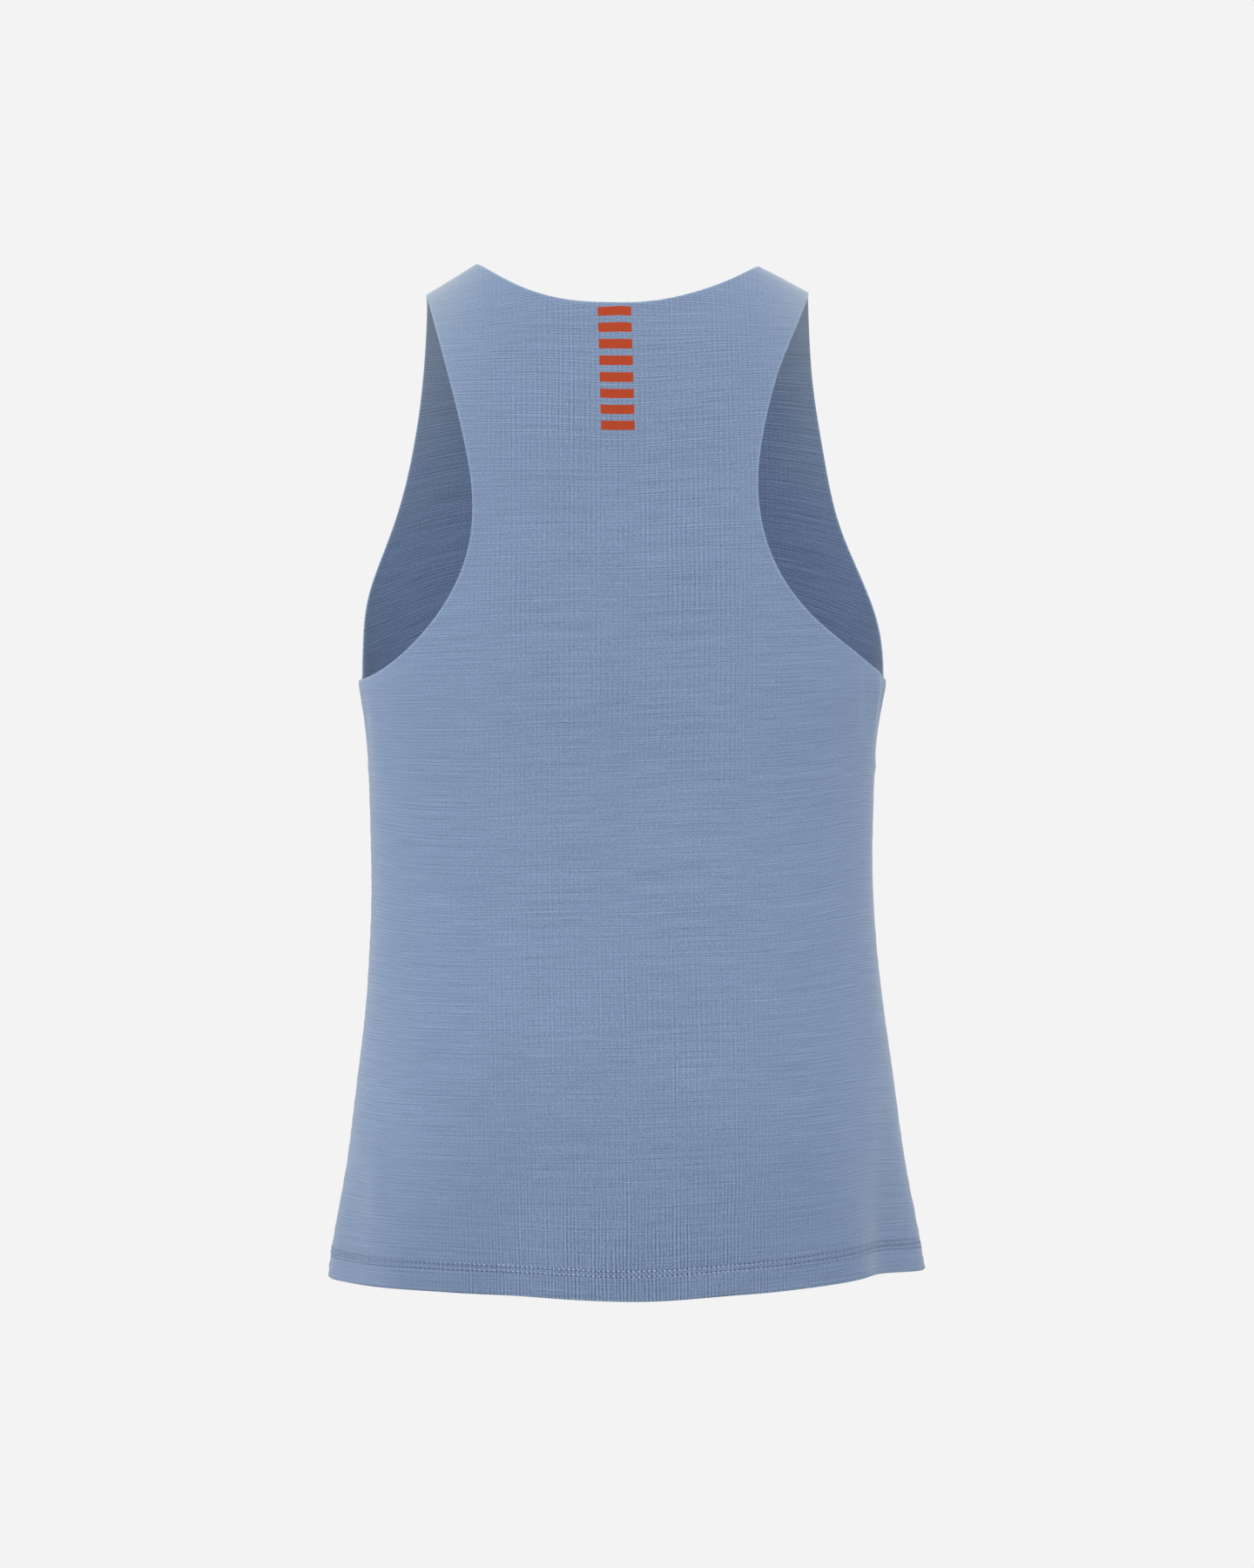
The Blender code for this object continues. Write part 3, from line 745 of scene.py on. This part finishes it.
# The knit's material, with the ladder below printTop if that is given
def jerseyMaterial(name, printTop=None, contrast=1.0):
    look = jerseyLook
    made, tree, shader = newMaterial(
        name,
        Metallic=0.0,
        Sheen_Weight=look["sheen"],
        Sheen_Roughness=look["sheenRoughness"],
        Sheen_Tint=look["sheenTint"],
        Specular_IOR_Level=look["specular"],
    )
    place = tree.node("ShaderNodeUVMap", {"uv_map": "cloth"})
    across, up = tree.part(place, 0), tree.part(place, 1)
    edge = tree.part(tree.node("ShaderNodeUVMap", {"uv_map": "edge"}), 0)

    # One of the noises, from -1 to 1
    def noise(which, step=0):
        acrossScale, upScale, detail, offset = noises[which]
        x, y = across * acrossScale + (offset + step), up * upScale
        point = tree.node("ShaderNodeCombineXYZ", None, 0, X=x, Y=y)
        flatNoise = {"noise_dimensions": "2D"}
        cloud = tree.node("ShaderNodeTexNoise", flatNoise, 0, Vector=point, Scale=1.0, Detail=detail)
        return cloud * 2.0 - 1.0

    # Shares of the four zones, and of the middle of the cloth against its sides
    def around(zone):
        place, reach = zones[zone]
        return tree.bell(up - place, reach)

    hem, arms, neck = tree.bell(up, zones["hem"]), around("arms"), tree.ramp(up, *zones["neck"])
    waist = tree.maths("MAXIMUM", 1.0 - hem - arms - neck, 0.0)
    centre = tree.bell(across, zones["centre"], 4.0)
    swing, mean, least = look["patches"]
    patches = tree.maths("MAXIMUM", noise("patches") * swing + mean, least)
    patches = patches + hem * (1.0 - patches)

    # One set of lines along a direction, with the phase shifted by a slow noise
    def lines(along, row, wander):
        wavelength, shift, *strengths = row
        wave = tree.maths("SINE", along * (2 * np.pi / wavelength) + wander * shift)
        return wave * sum(zone * strength for zone, strength in zip((hem, waist, arms, neck), strengths))

    wales = sum(lines(across, row, noise("waleWander", k)) for k, row in enumerate(look["wales"]))
    everywhere, atHem = look["waleGrain"]
    wales = wales * centre * patches + noise("waleGrain") * (hem * atHem + everywhere) * centre
    courses = sum(lines(up, row, noise("courseWander", k)) for k, row in enumerate(look["courses"]))
    atSides, inMiddle, atHem = look["slubZones"]
    slub = noise("longSlub") * look["longSlub"] + noise("shortSlub")
    slub = slub * (centre * inMiddle + atSides - hem * atHem)
    atSides, inMiddle = look["speckleZones"]
    speckle = (noise("speckle") + noise("fleck") * look["fleck"]) * (centre * inMiddle + atSides)
    tone = (slub * look["slub"] + speckle * look["speckle"] + wales + courses) * contrast + 0.5
    tone = tone + noise("broad") * look["broad"]
    # painted highlight: a lighter line along the free armhole and neck edges, where the rolled edge catches
    # the light
    tone = tone + tree.bell(edge, zones["paintedEdgeReach"]) * look["paintedEdgeHighlight"]
    # painted light and shade: a paler middle of the back where it faces the light, and a darker hem where
    # the cloth turns down away from it; towards the neck it is also a little darker
    tone = tone + around("paintedLight") * centre * look["paintedLightBack"]
    tone = tone - tree.bell(up, zones["paintedHemShade"]) * look["paintedHemShade"] - neck * look["darkNeck"]

    # Needle holes of the twin rows: painted shade, dark dots where one stitch ends and the next begins, and
    # a darker band along the faint groove they lie in
    wide, tall = look["holeSize"]
    grooveWidth, grooveShade = look["groove"]
    holes = 0.0
    for height in sewing["stitchRows"]:
        beside = tree.maths("PINGPONG", across, sewing["pitch"] / 2) / wide
        above = (up - height) / tall
        dot = tree.maths("EXPONENT", (beside * beside + above * above) * -1.0)
        dot = tree.maths("MAXIMUM", dot, tree.bell(above, grooveWidth) * grooveShade)
        holes = tree.maths("MAXIMUM", holes, dot)
    colour = tree.blend(tone, look["darkYarn"], look["lightYarn"])
    colour = tree.blend(holes * look["holeShade"], colour, look["paintedHoleShade"])

    # Painted highlight: the cloth is painted paler and greyer where it turns over the shoulders and light
    # from above falls on it, most at the outer end of each strap, and stronger on the inside
    spot = tree.node("ShaderNodeTexCoord", None, 3)
    outer = tree.ramp(tree.maths("ABSOLUTE", tree.part(spot, 0)), *zones["strapEnd"])
    everywhere, atOuter = look["crestShares"]
    crest = tree.bell(tree.part(spot, 1), look["crestReach"])
    crest = crest * neck * (outer * atOuter + everywhere) * contrast
    colour = tree.blend(crest, colour, look["crest"])
    relief = slub * look["slubRelief"] + speckle * look["speckleRelief"] + wales + courses
    relief = relief - holes * look["holeRelief"]
    rough = tone * look["roughSwing"] + look["roughness"] - look["roughSwing"] / 2
    if printTop is not None:
        down = printTop - up
        beside = across - ladder["middle"] - down * ladder["slant"]
        inWidth = tree.maths("LESS_THAN", tree.maths("ABSOLUTE", beside), ladder["width"] / 2)
        step = ladder["height"] / (ladder["bars"] - 1 + ladder["barShare"])
        inBar = tree.maths("LESS_THAN", tree.maths("MODULO", down, step), step * ladder["barShare"])
        aboveEnd = tree.maths("LESS_THAN", down, ladder["height"])
        belowTop = tree.maths("GREATER_THAN", down, 0.0)
        film = inWidth * inBar * aboveEnd * belowTop
        colour = tree.blend(film, colour, look["print"])
        relief = relief * (1.0 - film * ladder["flatter"])
        rough = rough - film * ladder["glossier"]
    feed(colour, shader, "Base Color")
    feed(rough, shader, "Roughness")
    sizes = {"Strength": look["bump"], "Distance": look["bumpDepth"]}
    feed(tree.node("ShaderNodeBump", None, 0, Height=relief, **sizes), shader, "Normal")
    return made


# Melange thread with a painted highlight: palest in the middle of the hem, where it faces the light, and
# darker towards the sides, where it turns from it
threadLook = {
    "dark": (0.11, 0.165, 0.29, 1), "light": (0.52, 0.66, 0.90, 1), "roughness": 0.55,
    "roughSwing": 0.1, "sheen": 0.2, "noiseScale": 900.0, "swing": 1.6, "darker": 0.1,
    "paintedLightReach": 0.115, "atSides": 0.15, "inMiddle": 0.85,
}


def threadMaterial():
    look = threadLook
    made, tree, shader = newMaterial("thread", Metallic=0.0, Sheen_Weight=look["sheen"])
    place = tree.node("ShaderNodeTexCoord", None, 3)
    noise = tree.node("ShaderNodeTexNoise", None, 0, Vector=place, Scale=look["noiseScale"], Detail=2.0)
    paintedLight = tree.bell(tree.part(place, 0), look["paintedLightReach"], 4.0) * look["inMiddle"] + look["atSides"]
    share = (noise * look["swing"] - look["darker"]) * paintedLight
    feed(tree.blend(share, look["dark"], look["light"]), shader, "Base Color")
    feed(noise * look["roughSwing"] + look["roughness"], shader, "Roughness")
    return made


measureFlat(backCloth)
measureFlat(frontCloth)
neckUp = float(flatPlace(backCloth, np.pi / 2, topLevel(backCloth, np.array(np.pi / 2)))[1])
jersey = jerseyMaterial("jersey")
# the threads show as clearly inside, in less light
jerseyInside = jerseyMaterial("jerseyInside", contrast=1.7)
printedJersey = jerseyMaterial("printedJersey", neckUp - ladder["drop"])
thread = threadMaterial()

backPanel = makePanel(backCloth, printedJersey, jerseyInside)
frontPanel = makePanel(frontCloth, jersey, jerseyInside)
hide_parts("back_panel")
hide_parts("front_panel")


# Closed tubes along many short paths at once: paths is (count, steps, 3), with the cloth's normal and the
# thread's radius at each step. Two quads close each end of a tube of six corners
def tubes(paths, normals, radius):
    corners = stitch["corners"]
    ahead = unit(np.gradient(paths, axis=1))
    sideways = unit(np.cross(normals, ahead))
    outwards = np.cross(ahead, sideways)
    angle = np.linspace(0, 2 * np.pi, corners, endpoint=False)[:, None]
    rounds = np.cos(angle) * sideways[..., None, :] + np.sin(angle) * outwards[..., None, :]
    points = paths[..., None, :] + radius[..., None, None] * rounds
    count, steps = paths.shape[:2]
    index = np.arange(steps * corners).reshape(steps, corners)
    ends = np.array([[0, 1, 2, 3], [3, 4, 5, 0]])
    index = np.concatenate([index, index[:, :1]], axis=1)
    one = np.concatenate([quads(index), ends[:, ::-1][:, [1, 2, 3, 0]], index[-1][ends]])
    faces = one[None] + (np.arange(count) * steps * corners)[:, None, None]
    return points.reshape(-1, 3), faces.reshape(-1, 4)


# One mesh of several runs of points and faces
def joined(name, runs, material, flat=None):
    starts = np.cumsum([0] + [len(points) for points, _ in runs])
    faces = np.concatenate([faces + start for (_, faces), start in zip(runs, starts)])
    points = np.concatenate([points for points, _ in runs])
    thing = meshObject(name, points, faces, material, None if flat is None else np.concatenate(flat))
    print(name, len(faces), "quads")
    return thing


stitch = {
    "corners": 6, "steps": 7, "length": 0.62, "slant": 0.00030, "stray": 0.00016, "strayPace": 7.1,
    "radius": 0.00038, "blunt": 1.02, "lift": 0.00016, "sink": 0.00012, "fine": 0.00020,
    "looperSteps": 5, "seamStart": 0.002,
}


# Numbers of the needle holes along a hem row, and the row's level
def hemHoles(piece, height):
    level = np.interp(height, piece["middleClimb"], piece["flatLevels"])
    ends = flatPlace(piece, np.array([0.0, np.pi]), level)[0]
    low, high = min(ends) + stitch["seamStart"], max(ends) - stitch["seamStart"]
    return np.arange(np.ceil(low / sewing["pitch"]), np.floor(high / sewing["pitch"])), level


# Twin rows of hem stitches: outside, short threads that rise between two needle holes; inside, a looper
# thread that runs to and fro between the rows
def hemStitches(piece):
    runs = []
    along = np.linspace(-1, 1, stitch["steps"])
    for height in sewing["stitchRows"]:
        number, level = hemHoles(piece, height)
        across = (number[:, None] + 0.5 + along * stitch["length"] / 2) * sewing["pitch"]
        turn = turnAt(piece, across, level)
        lift = stitch["lift"] * (1 - along**2) - stitch["sink"] * along**2
        levels = level + stitch["slant"] * along
        levels = levels + stitch["stray"] * np.sin(stitch["strayPace"] * number[:, None])
        paths = clothPoint(piece, turn, levels, np.broadcast_to(-lift, turn.shape))
        radius = np.broadcast_to(stitch["radius"] * np.sqrt(stitch["blunt"] - along**2), turn.shape)
        runs.append(tubes(paths, formNormal(piece, turn, levels), radius))
    number, level = hemHoles(piece, sewing["stitchRows"][1])
    rise = level - hemHoles(piece, sewing["stitchRows"][0])[1]
    share = np.linspace(0, 1, stitch["looperSteps"])
    across = (number[:, None] + share) * sewing["pitch"]
    turn = turnAt(piece, across, level)
    levels = np.broadcast_to(level - rise * (1 - np.abs(1 - 2 * share)), turn.shape)
    paths = clothPoint(piece, turn, levels, 2 * form["cloth"] + stitch["fine"])
    radius = np.full(turn.shape, stitch["fine"])
    runs.append(tubes(paths, -formNormal(piece, turn, levels), radius))
    return joined(piece["side"] + "HemStitches", runs, thread)


# Seam allowances: both layers, folded to the back and overlocked, lie on the inside of the back panel
allowance = {
    "width": 0.0068, "thickness": 0.0015, "sunk": 0.0001, "past": 0.0006, "round": 0.0005,
    "wave": 0.0003, "wavePace": (0.011, 2, 0.047), "pathSteps": 60, "step": 0.002, "loop": 0.0025,
    "overlock": 0.0036, "threadOut": 0.0004, "edgeForward": (0.0, 0.45, 0.6, 0.8),
    "stitchForward": (0.1, 0.4, 0.6, 0.9), "stitchRise": (-0.2, 1.0, 1.0, -0.2),
}
# each seam: which end of the panel, whether it is the shoulder, and the shares of it that are covered
seams = ((1, False, 0.0, 1.0), (-1, False, 0.0, 1.0), (1, True, 0.04, 0.96), (-1, True, 0.04, 0.96))


# Point and normal on the inside of the back panel: a share along the seam, so far away from it down the
# cloth, and so far in. A place just past the seam lies on the other panel's side
def besideSeam(seam, share, away, inset):
    piece = backCloth
    side, shoulder, first, last = seam
    share, away = np.broadcast_arrays(first + (last - first) * share, away)
    down = np.maximum(away, 0)
    if shoulder:
        half, square = topRing(piece)
        x = form["strapEndX"] + (form["neckPointX"] - form["strapEndX"]) * share
        turn = angleAt(x / half, square)
        depth = float(ringSize(piece["side"], underarmZ)) * superellipse(turn, square)[1]
        level = levelOf(closing(piece, down / depth))
    else:
        base = hemZ + form["hemFold"]
        level = base + (underarmZ - base) * share
        turn = down / ringSize(piece["side"], level)
    turn = turn if side > 0 else np.pi - turn
    points = clothPoint(piece, turn, level, inset)
    points[..., 1] += np.minimum(away, 0)
    return points, formNormal(piece, turn, level)


def seamAllowances():
    sizes = allowance
    runs, flats, threadRuns = [], [], []

    # Round a strip: out along its inner side, over its end, back along its outer side and past the seam
    inner, outer = form["cloth"] - sizes["sunk"], form["cloth"] + sizes["thickness"]
    third = (outer - inner) / 3
    far, near = sizes["width"] + sizes["round"], -sizes["past"] - sizes["round"]
    line = np.concatenate([[-sizes["past"]], np.linspace(0, 1, 5) * sizes["width"]])
    away = np.concatenate([line, [far, far], line[::-1], [near, near]])
    side, turned = np.ones(len(line)), np.array([inner + third, outer - third])
    inset = np.concatenate([side * inner, turned, side * outer, turned[::-1]])
    # facing corners of the strip's two sides, for the quads that close its ends
    pairs = np.array([[(k - 1) % len(away), len(away) - 2 - k] for k in range(len(away) // 2)])
    cap = np.concatenate([pairs[:-1], pairs[1:, ::-1]], axis=1)

    # An overlock thread: over the edge of the cloth, or a line of short stitches along it
    beyond, thick = sizes["threadOut"], sizes["thickness"]
    edgeAway = far + np.array([sizes["overlock"] - sizes["width"], 0.0, beyond, beyond])
    edgeInset = outer + np.array([beyond / 2, beyond / 2, -thick / 3, -thick])
    stitchInset = outer + np.array(sizes["stitchRise"]) * stitch["fine"]

    for k, seam in enumerate(seams):
        path, _ = besideSeam(seam, np.linspace(0, 1, sizes["pathSteps"]), 0.0, 0.0)
        length = float(np.linalg.norm(np.diff(path, axis=0), axis=-1).sum())
        share = np.linspace(0, 1, int(length / sizes["step"]) + 2)[:, None]
        wave = sizes["wave"] * wavy(share * length, sizes["wavePace"], k)
        points, _ = besideSeam(seam, share, away + wave * (away > 0), inset[None, :])
        count, around = points.shape[:2]
        index = np.arange(count * around).reshape(count, around)
        body = quads(np.concatenate([index, index[:, :1]], axis=1))
        faces = np.concatenate([body, index[0][cap], index[-1][cap][:, ::-1]])
        runs.append((points.reshape(-1, 3), faces if seam[0] > 0 else faces[:, ::-1]))
        where = np.broadcast_to(share * length, (count, around))
        flats.append(np.stack([np.broadcast_to(away, where.shape), where], axis=-1).reshape(-1, 2))

        loops = np.arange(int(length / sizes["loop"]) - 1)[:, None] * sizes["loop"] / length
        pace = sizes["loop"] / length
        at = loops + np.array(sizes["edgeForward"]) * pace
        wave = sizes["wave"] * wavy(at * length, sizes["wavePace"], k)
        paths, normals = besideSeam(seam, at, edgeAway + wave, edgeInset)
        threadRuns.append(tubes(paths, -normals, np.full(at.shape, stitch["fine"])))
        at = loops + np.array(sizes["stitchForward"]) * pace
        paths, normals = besideSeam(seam, at, sizes["overlock"], stitchInset)
        threadRuns.append(tubes(paths, -normals, np.full(at.shape, stitch["fine"])))
    strips = joined("seamAllowances", runs, jersey, flats)
    return strips, joined("overlockThreads", threadRuns, thread)


backStitches = hemStitches(backCloth)
frontStitches = hemStitches(frontCloth)
strips, overlock = seamAllowances()

studio = {
    "backdrop": 0.896, "ambient": 0.96, "floorGlow": 0.60, "floorZ": -0.95, "floorRadius": 6,
    "floorSides": 64, "camera": (-0.0035, 2.6, -0.309), "lens": 97.34, "sensor": 36.0,
    # name, place, aim, size, watts, colour
    "lamps": (
        ("key", (0.2, 2.7, 0.9), (0, 0, -0.3), (1.6, 1.6), 12, (1, 0.99, 0.97)),
        ("top", (0, -0.2, 1.5), (0, 0, 0), (1.6, 1), 2, (1, 1, 0.98)),
        ("leftSide", (1.9, -0.1, -0.3), (0, 0, -0.3), (0.8, 1.7), 10.5, (1, 1, 1)),
        ("rightSide", (-1.9, -0.1, -0.3), (0, 0, -0.3), (0.8, 1.7), 3.5, (1, 1, 1)),
        ("farSide", (-0.4, -2.4, 0.8), (0, 0, -0.3), (1.6, 1.6), 26, (1, 0.99, 0.97)),
    ),
}


def makeStudio():
    scene = bpy.context.scene
    scene.view_settings.view_transform = "Standard"
    scene.view_settings.look = "None"
    world = bpy.data.worlds.new("studio")
    scene.world = world
    world.use_nodes = True
    tree = Wire(world.node_tree, None)
    seen = tree.node("ShaderNodeLightPath", None, 0)
    strength = seen * (studio["backdrop"] - studio["ambient"]) + studio["ambient"]
    background = world.node_tree.nodes["Background"]
    background.inputs["Color"].default_value = (1, 1, 1, 1)
    feed(strength, background, "Strength")

    floorMade, floorTree, shader = newMaterial(
        "floor",
        Base_Color=(0, 0, 0, 1),
        Specular_IOR_Level=0.0,
        Roughness=1.0,
        Emission_Strength=studio["backdrop"],
    )
    # the camera sees the floor as bright as the backdrop, and the cloth gets less light from it
    dimmed = studio["floorGlow"] / studio["backdrop"]
    seen = floorTree.node("ShaderNodeLightPath", None, 0)
    feed(floorTree.blend(seen, (dimmed, dimmed, dimmed, 1), (1, 1, 1, 1)), shader, "Emission Color")
    sides, radius = studio["floorSides"], studio["floorRadius"]
    angle = np.linspace(0, 2 * np.pi, sides, endpoint=False)
    height = np.full(sides, studio["floorZ"])
    rim = np.stack([radius * np.cos(angle), radius * np.sin(angle), height], axis=-1)
    made = bpy.data.meshes.new("floor")
    made.from_pydata(rim.tolist(), [], [list(range(sides))])
    made.materials.append(floorMade)
    floor = placed("floor", made)

    for name, place, aim, size, watts, colour in studio["lamps"]:
        lamp = bpy.data.lights.new(name, "AREA")
        lamp.shape = "RECTANGLE"
        lamp.size, lamp.size_y = size
        lamp.energy = watts
        lamp.color = colour
        thing = placed(name, lamp)
        thing.location = place
        thing.rotation_euler = (Vector(aim) - Vector(place)).to_track_quat("-Z", "Y").to_euler()
        thing.visible_camera = False

    lens = bpy.data.cameras.new("camera")
    lens.lens = studio["lens"]
    lens.sensor_width = studio["sensor"]
    camera = placed("camera", lens)
    camera.location = studio["camera"]
    camera.rotation_euler = (np.pi / 2, 0, np.pi)
    scene.camera = camera


makeStudio()
print("studio made")
